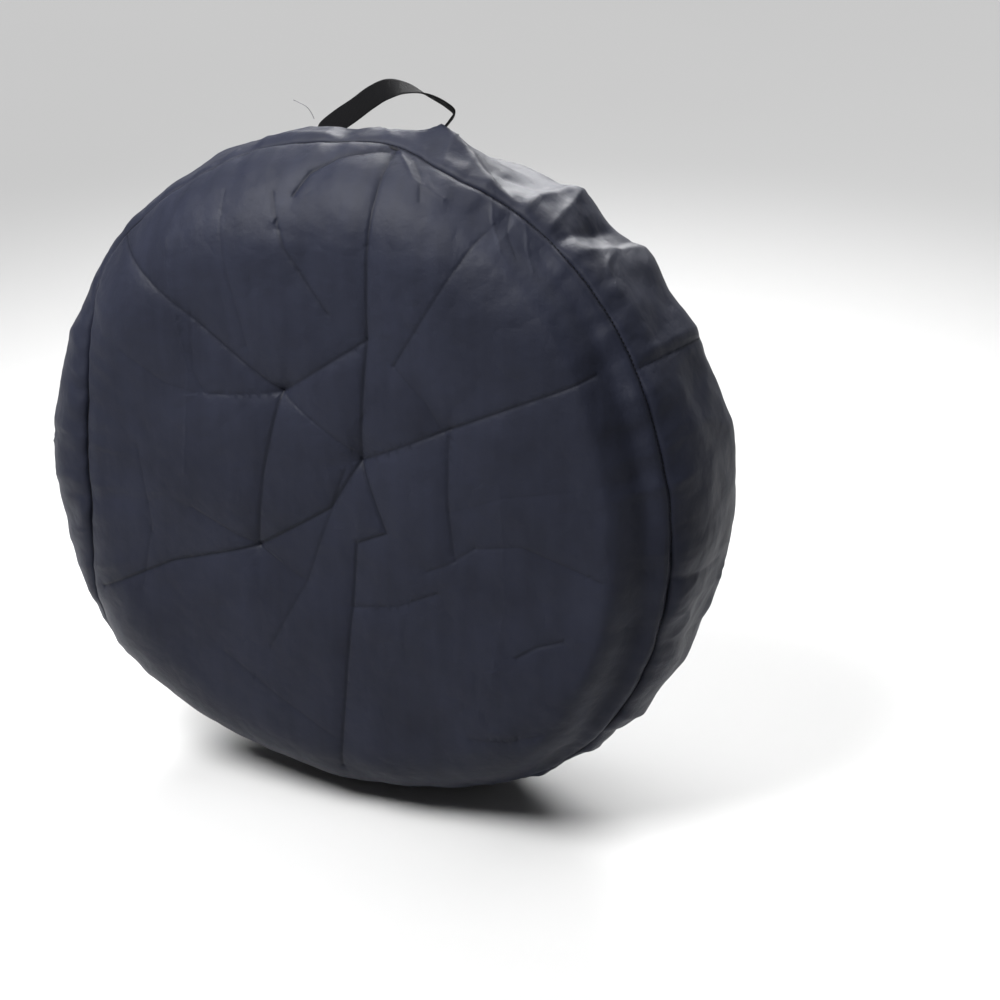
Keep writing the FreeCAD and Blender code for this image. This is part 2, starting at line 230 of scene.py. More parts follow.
# Centre line of the strap's free loop and its width direction: across, back from the tread's middle,
# and up from the crest of the wall, in millimetres, then the direction that its width points in.
LOOP_STATIONS = [
    ((-69, 20, -17.0), (-0.25, 0.92, 0.30)),
    ((-63, 20, -12.0), (-0.40, 0.74, 0.54)),
    ((-48, 20, -1.0), (-0.44, 0.62, 0.65)),
    ((-30, 20, 11.5), (-0.44, 0.62, 0.65)),
    ((-12, 20, 25.0), (-0.42, 0.64, 0.64)),
    ((4, 20, 33.5), (-0.34, 0.74, 0.52)),
    ((22, 20, 35.5), (-0.22, 0.90, 0.12)),
    ((42, 20, 31.5), (-0.32, 0.85, -0.30)),
    ((60, 20, 24.0), (-0.38, 0.83, -0.39)),
    ((67, 20, 18.0), (-0.38, 0.83, -0.39)),
    ((62, 20, 9.5), (-0.38, 0.85, -0.36)),
    ((55, 21, 0.0), (-0.25, 0.94, -0.15)),
]


def curve_between(u, gap, values, slopes, i):
    """Smooth curve from station i to the next, a gap away, at share u between them."""
    return (
        values[i] * (2 * u**3 - 3 * u**2 + 1)
        + slopes[i] * gap * (u**3 - 2 * u**2 + u)
        + values[i + 1] * (3 * u**2 - 2 * u**3)
        + slopes[i + 1] * gap * (u**3 - u**2)
    )


def ring_curve(stations, angles):
    """Values at any angles, in degrees, by a smooth closed curve through stations of (angle, value)."""
    known = np.array([a for a, _ in stations], float)
    values = np.array([v for _, v in stations], float)
    known = np.concatenate([known[-2:] - 360, known, known[:2] + 360])
    values = np.concatenate([values[-2:], values, values[:2]])
    slopes = np.gradient(values, known)
    at = np.mod(np.asarray(angles, float), 360)
    i = np.clip(np.searchsorted(known, at, side="right") - 1, 0, len(known) - 2)
    gap = known[i + 1] - known[i]
    return curve_between((at - known[i]) / gap, gap, values, slopes, i)


def seam_run(angles):
    """Run from the middle of the panel to the front seam."""
    angles = np.atleast_1d(angles)
    cover = ring_curve([(a, c) for a, c, _ in SEAM_STATIONS], angles)
    sway = 0.0018 * ring_noise(angles, 0.036, 21.0)
    return FLAT + SHOULDER * np.radians(cover) + sway


def seam_sink(angles):
    """How deep the front seam lies in the cloth."""
    return ring_curve([(a, s) for a, _, s in SEAM_STATIONS], angles) * MM


def profile(run):
    """Radius, depth behind the axle's middle and turn of the outside at a run; turn 0 faces the front."""
    front = np.clip((run - FLAT) / SHOULDER, 0, math.pi / 2)
    tread = np.clip(run - FLAT - QUARTER, 0, TREAD)
    back = np.clip((run - FLAT - QUARTER - TREAD) / SHOULDER, 0, math.pi / 2)
    inward = np.maximum(run - BACK_EDGE, 0)
    radius = np.minimum(run, FLAT) + SHOULDER * np.sin(front) - SHOULDER * (1 - np.cos(back)) - inward
    depth = -DEPTH / 2 + SHOULDER * (1 - np.cos(front)) + tread + SHOULDER * np.sin(back)
    return radius, depth, front + back


def grain(points, size, octaves, seed):
    """Even random swell at each point, from about -1 to 1, with the given size in metres."""
    shift = Vector((seed, 1.7 * seed, -0.6 * seed))
    at = [Vector(p) / size + shift for p in points]
    return np.array([noise.fractal(p, 1.0, 2.0, octaves, noise_basis="PERLIN_ORIGINAL") for p in at])


def wrapped(degrees):
    """An angle difference between -180 and 180."""
    return (degrees + 180) % 360 - 180


def away_from_line(x, y, a, b):
    """Distance from the line a to b, how far along it, 0 to 1, and which side it is, -1 or 1."""
    dx, dy = b[0] - a[0], b[1] - a[1]
    u = np.clip(((x - a[0]) * dx + (y - a[1]) * dy) / (dx * dx + dy * dy), 0, 1)
    side = np.where((y - a[1]) * dx - (x - a[0]) * dy < 0, -1.0, 1.0)
    return np.hypot(x - a[0] - u * dx, y - a[1] - u * dy), u, side


def bulge_lift(angles, runs):
    """Broad swells and hollows of the filled cover."""
    lift = np.zeros_like(runs)
    for at, run, spread, width, height in BULGES:
        turn = wrapped(angles - at) / spread
        lift += height * MM * np.exp(-(turn**2) - ((runs - run) / width) ** 2)
    return lift


def nearest_on_crease(x, y, points):
    """Distance from a crease through points, and the side of it, -1 or 1."""
    away = np.full_like(x, 1e9)
    side = np.ones_like(x)
    for a, b in zip(points, points[1:]):
        near, _, which = away_from_line(x, y, a, b)
        side = np.where(near < away, which, side)
        away = np.minimum(away, near)
    return away, side


def flat_place(angles, runs):
    """Places on the panel laid flat, in millimetres across and up from its middle."""
    return runs * np.cos(np.radians(angles)) / MM, runs * np.sin(np.radians(angles)) / MM


def panel_creases(angles, runs):
    """Packing creases of the front panel: their lift, and the shade painted into the cloth's colour along
    them, 0 to 1.
    """
    x, y = flat_place(angles, runs)
    lift = np.zeros_like(runs)
    painted_shade = np.zeros_like(runs)
    for points, depth, width in PANEL_CREASES:
        away, side = nearest_on_crease(x, y, points)
        uneven = width * np.where(side > 0, 1.6, 0.75)
        narrow = np.exp(-((away / 1.7) ** 2))
        lift -= depth * MM * (1.4 * np.exp(-np.hypot(away, 0.3) / uneven) + 0.25 * narrow)
        # Painted shade: the cloth's colour is darkened along each crease, where shade falls in its groove
        painted_shade = np.maximum(painted_shade, narrow * min(1, max(depth, 0) / 2.4))
    return lift, painted_shade


def crumple(points, size, seed, sharpness):
    """Random sharp creases that come and go: 0 on smooth cloth, 1 along a crease."""
    line = np.abs(grain(points, size, 2, seed))
    present = np.clip(grain(points, 1.6 * size, 1, seed + 9.0) * 2.2 + 0.35, 0, 1)
    return np.exp(-line / sharpness) * present


def pleat_noise(angles, size, seed):
    """Sharp-backed ripples round the seam, from -1 to 1."""
    return 1 - 2.6 * np.abs(ring_noise(angles, size, seed))


def fold_lift(angles, runs):
    """Folds across the side wall, in line with the pull of the hem and handle."""
    lift = np.zeros_like(runs)
    round_scale = RADIUS * math.pi / 180 / MM
    for a0, r0, a1, r1, height, width in WALL_FOLDS:
        x = wrapped(angles - a0) * round_scale
        y = (runs - r0) / MM
        end = ((a1 - a0) * round_scale, (r1 - r0) / MM)
        away, along, _ = away_from_line(x, y, (0, 0), end)
        sharp = np.exp(-np.hypot(away, 1.0) / width)
        lift += height * MM * sharp * (0.55 + 0.45 * np.sin(math.pi * (0.15 + 0.85 * along)))
    return lift


def tent_lift(angles, runs):
    """Cloth drawn up where the handle's ends pull."""
    lift = np.zeros_like(runs)
    for at, run, height, width in TENTS:
        away = np.hypot(np.radians(wrapped(angles - at)) * RADIUS, runs - run) / MM
        lift += height * MM * np.exp(-np.hypot(away, 2.0) / width)
    return lift


def pleat_wave(angles, count, sway, seed):
    """Uneven gathers round the hem, rounded on top and pinched between, from -1 to 1."""
    turn = np.radians(angles)
    points = np.stack([np.cos(turn), np.sin(turn), np.full_like(turn, seed)], -1)
    phase = count * turn + sway * grain(points, 0.34, 2, seed)
    return 1 - 2 * np.abs(np.sin(phase / 2)) ** 1.4


def close_gathers(angles):
    """The close gathers at the hem, which its casing shares."""
    return pleat_wave(angles, 60, 7.0, 5.0)


def gather_lift(angles, runs):
    """Gathers of the back skirt: broad at the shoulder, close and deep at the elastic hem."""
    near_hem = np.clip((runs - GATHER_RUN) / (HEM_RUN - GATHER_RUN), 0, 1)
    broad = pleat_wave(angles, 30, 5.0, 2.0)
    close = close_gathers(angles)
    far = near_hem**0.8 * (1 - 0.6 * near_hem)
    return MM * (9.0 * far * broad + 5.5 * near_hem**1.6 * close) - 0.004 * near_hem**2


def ring_noise(angles, size, seed):
    """Random sway round the cover, with the given size in metres."""
    turn = np.radians(angles)
    points = np.stack([RADIUS * np.cos(turn), RADIUS * np.sin(turn), np.zeros_like(turn)], -1)
    return grain(points, size, 2, seed)


def on_cloth(angles, runs, lift):
    """Places on the filled cover at angles and runs, lifted off it, and flattened on the floor."""
    radius, depth, turn = profile(runs)
    radius = radius + lift * np.sin(turn)
    depth = depth - lift * np.cos(turn)
    theta = np.radians(angles)
    x = radius * np.cos(theta)
    z = AXLE_Z + radius * np.sin(theta)
    soft = 0.003
    above = np.where(z > 6 * soft, z, soft * np.log1p(np.exp(np.minimum(z / soft, 30))))
    return np.stack([x, MID_Y + depth, above], -1)


def seam_lift(angles, beyond, sink_reach, pucker_reach):
    """Dip of the cloth beside the front seam, with puckers where the stitches pull."""
    sink = seam_sink(angles)
    away = np.abs(beyond)
    dip = -SEAM_DIP * np.exp(-away / 0.0035) - np.maximum(sink - SEAM_DIP, 0) * np.exp(-away / sink_reach)
    grow = 1 - np.exp(-((away / 0.005) ** 2))
    small = 0.0011 * pleat_noise(angles, 0.016, 3.0) * np.exp(-away / 0.010)
    large = 0.0024 * pleat_noise(angles, 0.042, 13.0) * np.exp(-away / pucker_reach)
    return dip + grow * (small + large)


def free_of_seam(beyond):
    """0 at the front seam, where the stitches hold the cloth smooth, and 1 away from it."""
    return 1 - np.exp(-((beyond / SEAM_HUSH) ** 2))


def wall_lift(angles, runs):
    """Everything that moves the side wall's cloth off the true round."""
    beyond = runs - seam_run(angles)
    plain = on_cloth(angles, runs, np.zeros_like(runs))
    swell = grain(plain, 0.060, 2, 11.0)
    fine = grain(plain, 0.018, 3, 23.0)
    crushed = crumple(plain, 0.070, 17.0, 0.10)
    free = free_of_seam(beyond)
    lift = bulge_lift(angles, runs) + tent_lift(angles, runs) * free
    lift = lift + fold_lift(angles, runs) * np.clip(beyond / 0.006, 0.15, 1)
    lift = lift + gather_lift(angles, runs)
    lift = lift + free * (0.0035 * swell + 0.0006 * fine + 0.0020 * crushed)
    return lift + seam_lift(angles, beyond, 0.022, 0.030)


def panel_lift(angles, runs):
    """Everything that moves the front panel's cloth off the true round, and its painted shade: darker along
    creases and crumples and towards the lower right.
    """
    beyond = seam_run(angles) - runs
    plain = on_cloth(angles, runs, np.zeros_like(runs))
    swell = grain(plain, 0.110, 2, 31.0)
    fine = grain(plain, 0.022, 3, 47.0)
    crushed = crumple(plain, 0.085, 53.0, 0.06)
    small = crumple(plain, 0.034, 59.0, 0.10)
    x = runs * np.cos(np.radians(angles))
    z = runs * np.sin(np.radians(angles))
    low_right = np.exp(-(((x - 0.16) / 0.12) ** 2) - ((z + 0.17) / 0.12) ** 2)
    free = free_of_seam(beyond)
    creases, painted_shade = panel_creases(angles, runs)
    # The middle is a little sunken, and a ridge and a trough follow the seam down the right side
    lift = bulge_lift(angles, runs) + creases * np.clip(beyond / 0.008, 0, 1)
    lift = lift + free * (0.0026 * swell + 0.0003 * fine)
    lift = lift - free * (0.0009 * crushed + (0.0003 + 0.0008 * low_right) * small)
    lift = lift - 0.002 * np.clip(1 - (runs / 0.30) ** 2, 0, 1)
    right = np.exp(-((wrapped(angles - 8) / 60) ** 4))
    ridge = np.exp(-np.hypot(beyond - 0.056, 0.002) / 0.020)
    trough = np.exp(-(((beyond - 0.022) / 0.018) ** 2))
    lift = lift + free * 0.007 * right * ridge
    lift = lift - free * 0.010 * right * trough
    lift = lift + seam_lift(angles, beyond, 0.060, 0.034)
    # Painted shade: darker along the creases, along the crumples and towards the lower right of the panel
    return lift, np.clip(painted_shade + 0.2 * crushed * free + 0.2 * small * low_right, 0, 1)


def clear_selection():
    """Leaves nothing selected."""
    bpy.ops.object.select_all(action="DESELECT")


def pick(piece):
    """Selects this piece and no other."""
    clear_selection()
    piece.select_set(True)
    bpy.context.view_layer.objects.active = piece


def edit_whole(piece):
    """Opens the piece in edit mode with all of its mesh selected."""
    pick(piece)
    bpy.ops.object.mode_set(mode="EDIT")
    bpy.ops.mesh.select_all(action="SELECT")


def leave_edit():
    """Goes back to object mode."""
    bpy.ops.object.mode_set(mode="OBJECT")


def named(name):
    """Names the piece that an operator has just made, and its mesh."""
    piece = bpy.context.object
    piece.name = name
    piece.data.name = name
    return piece


def read_points(piece):
    """Places of all the piece's points."""
    points = np.empty(len(piece.data.vertices) * 3)
    piece.data.vertices.foreach_get("co", points)
    return points.reshape(-1, 3)


def move_points(piece, points):
    """Puts the piece's points at new places."""
    piece.data.vertices.foreach_set("co", np.ascontiguousarray(points, float).ravel())
    piece.data.update()


def bake_place(piece):
    """Puts the piece's place into its mesh and its object back at the origin."""
    pick(piece)
    bpy.ops.object.transform_apply(location=True, rotation=True, scale=True)


def face_outward(piece):
    """Merges the piece's doubled points and turns its faces outwards."""
    edit_whole(piece)
    bpy.ops.mesh.remove_doubles(threshold=JOIN_GAP)
    bpy.ops.mesh.normals_make_consistent(inside=False)
    leave_edit()


def give_thickness(piece, thickness):
    """Turns a single layer into cloth with two sides and a cut edge, growing inwards."""
    solid = piece.modifiers.new("Thickness", "SOLIDIFY")
    solid.thickness = thickness
    solid.offset = -1
    pick(piece)
    bpy.ops.object.modifier_apply(modifier=solid.name)


def smooth(piece):
    """Shades the piece as a smooth surface."""
    pick(piece)
    bpy.ops.object.shade_smooth()


def write_uv(piece, across, along, wrap=None):
    """Cut-cloth coordinates in metres, from one value a point; wrap is the length of a closed round."""
    mesh = piece.data
    layer = mesh.uv_layers.active or mesh.uv_layers.new(name="Cut cloth")
    corner = np.empty(len(mesh.loops), int)
    mesh.loops.foreach_get("vertex_index", corner)
    u, v = across[corner].copy(), along[corner].copy()
    if wrap:
        starts = np.empty(len(mesh.polygons), int)
        totals = np.empty(len(mesh.polygons), int)
        mesh.polygons.foreach_get("loop_start", starts)
        mesh.polygons.foreach_get("loop_total", totals)
        owner = np.repeat(np.arange(len(starts)), totals)
        top = np.maximum.reduceat(u, starts)
        u = np.where(top[owner] - u > wrap / 2, u + wrap, u)
    layer.data.foreach_set("uv", np.stack([u, v], -1).ravel())


def write_painted_shade(piece, painted_shade):
    """Shade painted along the cloth's creases and crumples and towards its lower right, kept with the piece
    for its finish to read.
    """
    shade_layer = piece.data.attributes.new("painted_shade", "FLOAT", "POINT")
    shade_layer.data.foreach_set("value", np.ascontiguousarray(painted_shade, np.float32))


def node(tree, kind, **settings):
    """A shader node with its input values and settings given by name."""
    made = tree.nodes.new(kind)
    for name, value in settings.items():
        if name in made.inputs:
            made.inputs[name].default_value = value
        else:
            setattr(made, name, value)
    return made


def new_material(name):
    """A new finish, its node tree and its surface shader."""
    material = bpy.data.materials.new(name)
    material.use_nodes = True
    return material, material.node_tree, material.node_tree.nodes["Principled BSDF"]


def arithmetic(tree, operation, *values):
    """Output of a Math node fed by other nodes' outputs and by plain numbers."""
    made = node(tree, "ShaderNodeMath", operation=operation)
    for socket, value in zip(made.inputs, values):
        if isinstance(value, bpy.types.NodeSocket):
            tree.links.new(value, socket)
        else:
            socket.default_value = value
    return made.outputs[0]


def coordinates(tree, kind):
    """The cut-cloth coordinates, UV, or the places in the piece, Object."""
    return node(tree, "ShaderNodeTexCoord").outputs[kind]


def thread_waves(tree, source, pitch_across, pitch_along):
    """Height of a plain weave from cut-cloth coordinates: crossing threads at two pitches."""
    split = node(tree, "ShaderNodeSeparateXYZ")
    tree.links.new(source, split.inputs[0])
    waves = []
    for output, pitch in (("X", pitch_across), ("Y", pitch_along)):
        turned = arithmetic(tree, "MULTIPLY", split.outputs[output], 2 * math.pi / pitch)
        waves.append(arithmetic(tree, "SINE", turned))
    return arithmetic(tree, "MULTIPLY", *waves)


def noise_layer(tree, source, scale, detail=3.0, stretch=(1, 1, 1)):
    """Cloudy noise, from 0 to 1, drawn out where the stretch is under 1."""
    mapping = node(tree, "ShaderNodeMapping", Scale=stretch)
    tree.links.new(source, mapping.inputs["Vector"])
    cloud = node(tree, "ShaderNodeTexNoise", Scale=scale, Detail=detail, Roughness=0.55)
    tree.links.new(mapping.outputs[0], cloud.inputs["Vector"])
    return cloud.outputs["Fac"]


def bump(tree, height, distance, strength, below=None):
    """Fine relief on the surface, over any relief below it."""
    layer = node(tree, "ShaderNodeBump", Distance=distance, Strength=strength)
    tree.links.new(height, layer.inputs["Height"])
    if below is not None:
        tree.links.new(below, layer.inputs["Normal"])
    return layer.outputs["Normal"]


def shade(colour, share):
    """A lighter or darker shade of a colour."""
    return tuple(share * c for c in colour)


def colour_ramp(tree, factor, *stops):
    """Colour between two stops of (factor, colour)."""
    ramp = node(tree, "ShaderNodeValToRGB")
    tree.links.new(factor, ramp.inputs[0])
    for element, (position, colour) in zip(ramp.color_ramp.elements, stops):
        element.position = position
        element.color = (*colour, 1)
    return ramp.outputs["Color"]


def cloth_material(settings):
    """Dark navy coated polyester: fine plain weave, faint streaks along the cloth, a soft sheen, and shade
    painted along its creases.
    """
    material, tree, surface = new_material("Coated polyester cloth")
    uv, local = coordinates(tree, "UV"), coordinates(tree, "Object")
    plain = settings.cloth_colour
    patches = noise_layer(tree, local, 14.0, 5.0)
    streaks = noise_layer(tree, uv, 90.0, 3.0, (1.0, 0.12, 1.0))
    blend = arithmetic(tree, "MULTIPLY_ADD", streaks, 0.3, arithmetic(tree, "MULTIPLY", patches, 0.7))
    colour = colour_ramp(tree, blend, (0.35, shade(plain, 0.8)), (0.65, shade(plain, 1.18)))
    # Painted shade: the colour darkens towards 0.62 of the plain colour where the painted shade attribute
    # is high, along creases and at the lower right
    painted_shade = node(tree, "ShaderNodeAttribute", attribute_name="painted_shade")
    shade_layer = node(tree, "ShaderNodeMix", data_type="RGBA", blend_type="MIX")
    tree.links.new(painted_shade.outputs["Fac"], shade_layer.inputs["Factor"])
    tree.links.new(colour, shade_layer.inputs[6])
    shade_layer.inputs[7].default_value = (*shade(plain, 0.62), 1)
    tree.links.new(shade_layer.outputs[2], surface.inputs["Base Color"])
    surface.inputs["Specular IOR Level"].default_value = settings.cloth_shine
    rough = node(tree, "ShaderNodeMapRange")
    tree.links.new(blend, rough.inputs["Value"])
    rough.inputs["To Min"].default_value = settings.cloth_roughness - 0.05
    rough.inputs["To Max"].default_value = settings.cloth_roughness + 0.06
    tree.links.new(rough.outputs[0], surface.inputs["Roughness"])
    surface.inputs["Sheen Weight"].default_value = 0.02
    surface.inputs["Sheen Roughness"].default_value = 0.45
    surface.inputs["Sheen Tint"].default_value = (0.75, 0.8, 1.0, 1)
    weave = thread_waves(tree, uv, settings.weave_pitch, settings.weave_pitch)
    ripple = noise_layer(tree, uv, 240.0, 2.0, (1.0, 0.25, 1.0))
    crush = noise_layer(tree, local, 55.0, 5.0)
    bent = noise_layer(tree, local, 22.0, 2.0)
    fold = arithmetic(tree, "ABSOLUTE", arithmetic(tree, "SUBTRACT", bent, 0.5))
    deepest = bump(tree, fold, 0.010, 0.25)
    lowest = bump(tree, crush, 0.004, 0.25, deepest)
    middle = bump(tree, ripple, 0.0003, 0.25, lowest)
    top = bump(tree, weave, 0.00008, 0.5, middle)
    tree.links.new(top, surface.inputs["Normal"])
    return material


def webbing_material(settings):
    """Black woven webbing: lengthwise ribs with a fine cross weave."""
    material, tree, surface = new_material("Black webbing")
    uv = coordinates(tree, "UV")
    plain = settings.webbing_colour
    weave = thread_waves(tree, uv, 0.0021, 0.0012)
    fibres = noise_layer(tree, uv, 900.0, 3.0, (1.0, 0.2, 1.0))
    colour = colour_ramp(tree, fibres, (0.3, shade(plain, 0.6)), (0.75, plain))
    tree.links.new(colour, surface.inputs["Base Color"])
    surface.inputs["Roughness"].default_value = 0.7
    surface.inputs["Specular IOR Level"].default_value = 0.08
    lowest = bump(tree, fibres, 0.0002, 0.3)
    tree.links.new(bump(tree, weave, 0.00035, 0.8, lowest), surface.inputs["Normal"])
    return material


def thread_material(name, colour, pitch):
    """Twisted sewing thread: fine slanting plies over a soft dull surface."""
    material, tree, surface = new_material(name)
    plies = node(tree, "ShaderNodeTexWave", Scale=1 / pitch, Distortion=1.5, bands_direction="DIAGONAL")
    tree.links.new(coordinates(tree, "Object"), plies.inputs["Vector"])
    plied = colour_ramp(tree, plies.outputs["Fac"], (0.2, shade(colour, 0.55)), (0.8, colour))
    tree.links.new(plied, surface.inputs["Base Color"])
    surface.inputs["Roughness"].default_value = 0.7
    surface.inputs["Specular IOR Level"].default_value = 0.12
    tree.links.new(bump(tree, plies.outputs["Fac"], 0.0001, 0.5), surface.inputs["Normal"])
    return material


def elastic_material():
    """Braided flat elastic: chevrons of dull yarn over rubber cords."""
    material, tree, surface = new_material("Braided elastic")
    braid = node(tree, "ShaderNodeTexWave", Scale=180.0, Distortion=4.0, wave_type="RINGS")
    tree.links.new(coordinates(tree, "Object"), braid.inputs["Vector"])
    yarn = colour_ramp(tree, braid.outputs["Fac"], (0.2, (0.008, 0.008, 0.009)), (0.8, (0.03, 0.03, 0.032)))
    tree.links.new(yarn, surface.inputs["Base Color"])
    surface.inputs["Roughness"].default_value = 0.7
    tree.links.new(bump(tree, braid.outputs["Fac"], 0.0003, 0.6), surface.inputs["Normal"])
    return material


def floor_material(settings):
    """Plain pale floor, very faintly clouded."""
    material, tree, surface = new_material("Pale floor")
    cloud = noise_layer(tree, coordinates(tree, "Object"), 0.8, 2.0)
    pale = (settings.floor_tone,) * 3
    clouded = colour_ramp(tree, cloud, (0.3, shade(pale, 0.985)), (0.7, pale))
    tree.links.new(clouded, surface.inputs["Base Color"])
    surface.inputs["Roughness"].default_value = 0.9
    surface.inputs["Specular IOR Level"].default_value = 0.1
    return material


MATERIALS = {}


def finish_material(name):
    """The shared finish of that name, made once."""
    settings = bpy.context.scene.tire_cover
    makers = {
        "cloth": lambda: cloth_material(settings),
        "webbing": lambda: webbing_material(settings),
        "sewing": lambda: thread_material("Sewing thread", settings.thread_colour, 0.0011),
        "overlock": lambda: thread_material("Overlock thread", settings.overlock_colour, 0.0014),
        "loose": lambda: thread_material("Loose thread", (0.16, 0.16, 0.17), 0.0009),
        "elastic": elastic_material,
        "floor": lambda: floor_material(settings),
    }
    if name not in MATERIALS:
        MATERIALS[name] = makers[name]()
    return MATERIALS[name]


def put_finish(piece, name):
    """Gives the piece one finish all over."""
    piece.data.materials.clear()
    piece.data.materials.append(finish_material(name))


def panel_square():
    """Square start of the front panel's cloth, in the plane of the face."""
    clear_selection()
    bpy.ops.mesh.primitive_grid_add(
        x_subdivisions=GRID, y_subdivisions=GRID, size=2, rotation=(math.pi / 2, 0, 0)
    )
    piece = named("front_panel_cloth")
    bake_place(piece)
    return piece


def square_to_round(a, b):
    """Even mapping of a square from -1 to 1 onto a disc: share of the radius, and angle in degrees."""
    wide = np.abs(a) >= np.abs(b)
    share = np.where(wide, a, b)
    other = np.where(wide, b, a)
    ratio = np.divide(other, share, out=np.zeros_like(share), where=np.abs(share) > 1e-12)
    angle = np.where(wide, 45 * ratio, 90 - 45 * ratio) + np.where(share < 0, 180, 0)
    return np.abs(share), angle


def panel_places(piece):
    """Angle and run of each point of the panel's square start."""
    square = read_points(piece)
    share, angles = square_to_round(square[:, 0], square[:, 2])
    return angles, share * seam_run(angles)


def refine_creases(piece):
    """Gives the cloth a finer mesh beside its creases, so that they fold crisply."""
    x, y = flat_place(*panel_places(piece))
    beside = np.zeros(len(x), bool)
    for points, _, _ in PANEL_CREASES:
        beside |= nearest_on_crease(x, y, points)[0] < FINE_REACH
    edit_whole(piece)
    bpy.ops.mesh.select_mode(type="VERT")
    bpy.ops.mesh.select_all(action="DESELECT")
    leave_edit()
    piece.data.vertices.foreach_set("select", beside)
    bpy.ops.object.mode_set(mode="EDIT")
    bpy.ops.mesh.subdivide(number_cuts=3)
    leave_edit()


def make_front_panel(settings):
    """Round front panel, pulled over the face, with its packing creases."""
    piece = panel_square()
    refine_creases(piece)
    angles, runs = panel_places(piece)
    write_uv(piece, runs * np.cos(np.radians(angles)), runs * np.sin(np.radians(angles)))
    lift, painted_shade = panel_lift(angles, runs)
    move_points(piece, on_cloth(angles, runs, lift))
    # Painted shade along the creases, crumples and lower right, kept as an attribute for the cloth's colour
    write_painted_shade(piece, painted_shade)
    give_thickness(piece, settings.cloth_thickness)
    smooth(piece)
    put_finish(piece, "cloth")
    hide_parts("front_panel")
    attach(piece, "cover")


def strip_rows():
    """Share of the strip's width at each row, closer together beside the front seam."""
    even = np.linspace(0, 1, ROWS)
    return 0.35 * even**2 + 0.65 * even


def make_side_wall(settings):
    """One strip from the front seam round the tread and over the back to the hem."""
    clear_selection()
    bpy.ops.mesh.primitive_circle_add(
        vertices=COLUMNS, radius=1, fill_type="NOTHING", rotation=(math.pi / 2, 0, 0)
    )
    piece = named("side_wall_cloth")
    edit_whole(piece)
    for _ in range(ROWS - 1):
        bpy.ops.mesh.extrude_edges_move(TRANSFORM_OT_translate={"value": (0, ROW_STEP, 0)})
    leave_edit()
    bake_place(piece)
    tube = read_points(piece)
    row = np.rint((tube[:, 1] - tube[:, 1].min()) / ROW_STEP).astype(int)
    angles = np.degrees(np.arctan2(tube[:, 2], tube[:, 0]))
    start = seam_run(angles)
    runs = start + (HEM_RUN - start) * strip_rows()[row]
    write_uv(piece, np.radians(angles) * RADIUS, runs, 2 * math.pi * RADIUS)
    move_points(piece, on_cloth(angles, runs, wall_lift(angles, runs)))
    face_outward(piece)
    give_thickness(piece, settings.cloth_thickness)
    smooth(piece)
    put_finish(piece, "cloth")
    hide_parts("side_wall", "back_skirt")
    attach(piece, "cover")


def make_hem(settings):
    """Hem casing, puckered all round by the elastic inside it."""
    half_height = (HEM_HIGH.y - HEM_LOW.y) / 2
    middle = HEM_RADIUS - settings.casing_width / 2
    clear_selection()
    bpy.ops.mesh.primitive_torus_add(
        major_segments=256,
        minor_segments=14,
        major_radius=middle,
        minor_radius=half_height,
        rotation=(math.pi / 2, 0, 0),
    )
    piece = named("hem_casing_cloth")
    edit_whole(piece)
    bpy.ops.mesh.subdivide(number_cuts=2)
    leave_edit()
    bake_place(piece)
    points = read_points(piece)
    angles = np.degrees(np.arctan2(points[:, 2], points[:, 0]))
    around = np.arctan2(np.hypot(points[:, 0], points[:, 2]) - middle, points[:, 1])
    outward, back = np.sin(around), np.cos(around)
    close = close_gathers(angles)
    flute = pleat_wave(angles, 120, 9.0, 8.0)
    swell = half_height * (1 + 0.10 * close + 0.12 * flute)
    stretch = (settings.casing_width / 2 - half_height) * np.clip(1.6 * outward, -1, 1)
    radius = middle + outward * swell + stretch
    theta = np.radians(angles)
    write_uv(piece, theta * HEM_RADIUS, around * half_height, 2 * math.pi * HEM_RADIUS)
    depth = HEM_MIDDLE + back * swell + 0.0022 * close
    move_points(piece, np.stack([radius * np.cos(theta), depth, AXLE_Z + radius * np.sin(theta)], -1))
    face_outward(piece)
    smooth(piece)
    put_finish(piece, "cloth")
    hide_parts("hem_casing")
    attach(piece, "cover")


def unit(vectors):
    """Each of the vectors at length 1."""
    return vectors / np.linalg.norm(vectors, axis=1, keepdims=True)


def distance_along(points):
    """Distance along a line of points to each of them."""
    steps = np.linalg.norm(np.diff(points, axis=0), axis=1)
    return np.concatenate([[0], np.cumsum(steps)])


def points_at(distances, along, points):
    """Places on a line of points at any distances along it."""
    return np.stack([np.interp(distances, along, column) for column in points.T], -1)


def stitch_row(name, places, forward, outward, length=0.0032, width=0.0008, height=0.0007):
    """A row of stitches as one piece: one stitch, repeated and laid at each place along its seam."""
    clear_selection()
    bpy.ops.mesh.primitive_uv_sphere_add(segments=6, ring_count=5, radius=1)
    piece = named(name)
    stitch = read_points(piece) * np.array([length / 2, width / 2, height / 2])
    stitch[:, 2] -= 0.5 * height * (2 * stitch[:, 0] / length) ** 2
    repeat = piece.modifiers.new("Repeat", "ARRAY")
    repeat.count = len(places)
    bpy.ops.object.modifier_apply(modifier=repeat.name)
    forward = unit(forward)
    side = unit(np.cross(outward, forward))
    up = np.cross(forward, side)
    laid = (
        places[:, None, :]
        + stitch[None, :, 0:1] * forward[:, None, :]
        + stitch[None, :, 1:2] * side[:, None, :]
        + stitch[None, :, 2:3] * up[:, None, :]
    )
    move_points(piece, laid.reshape(-1, 3))
    smooth(piece)
    put_finish(piece, "sewing")
    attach(piece, "cover")
    return piece


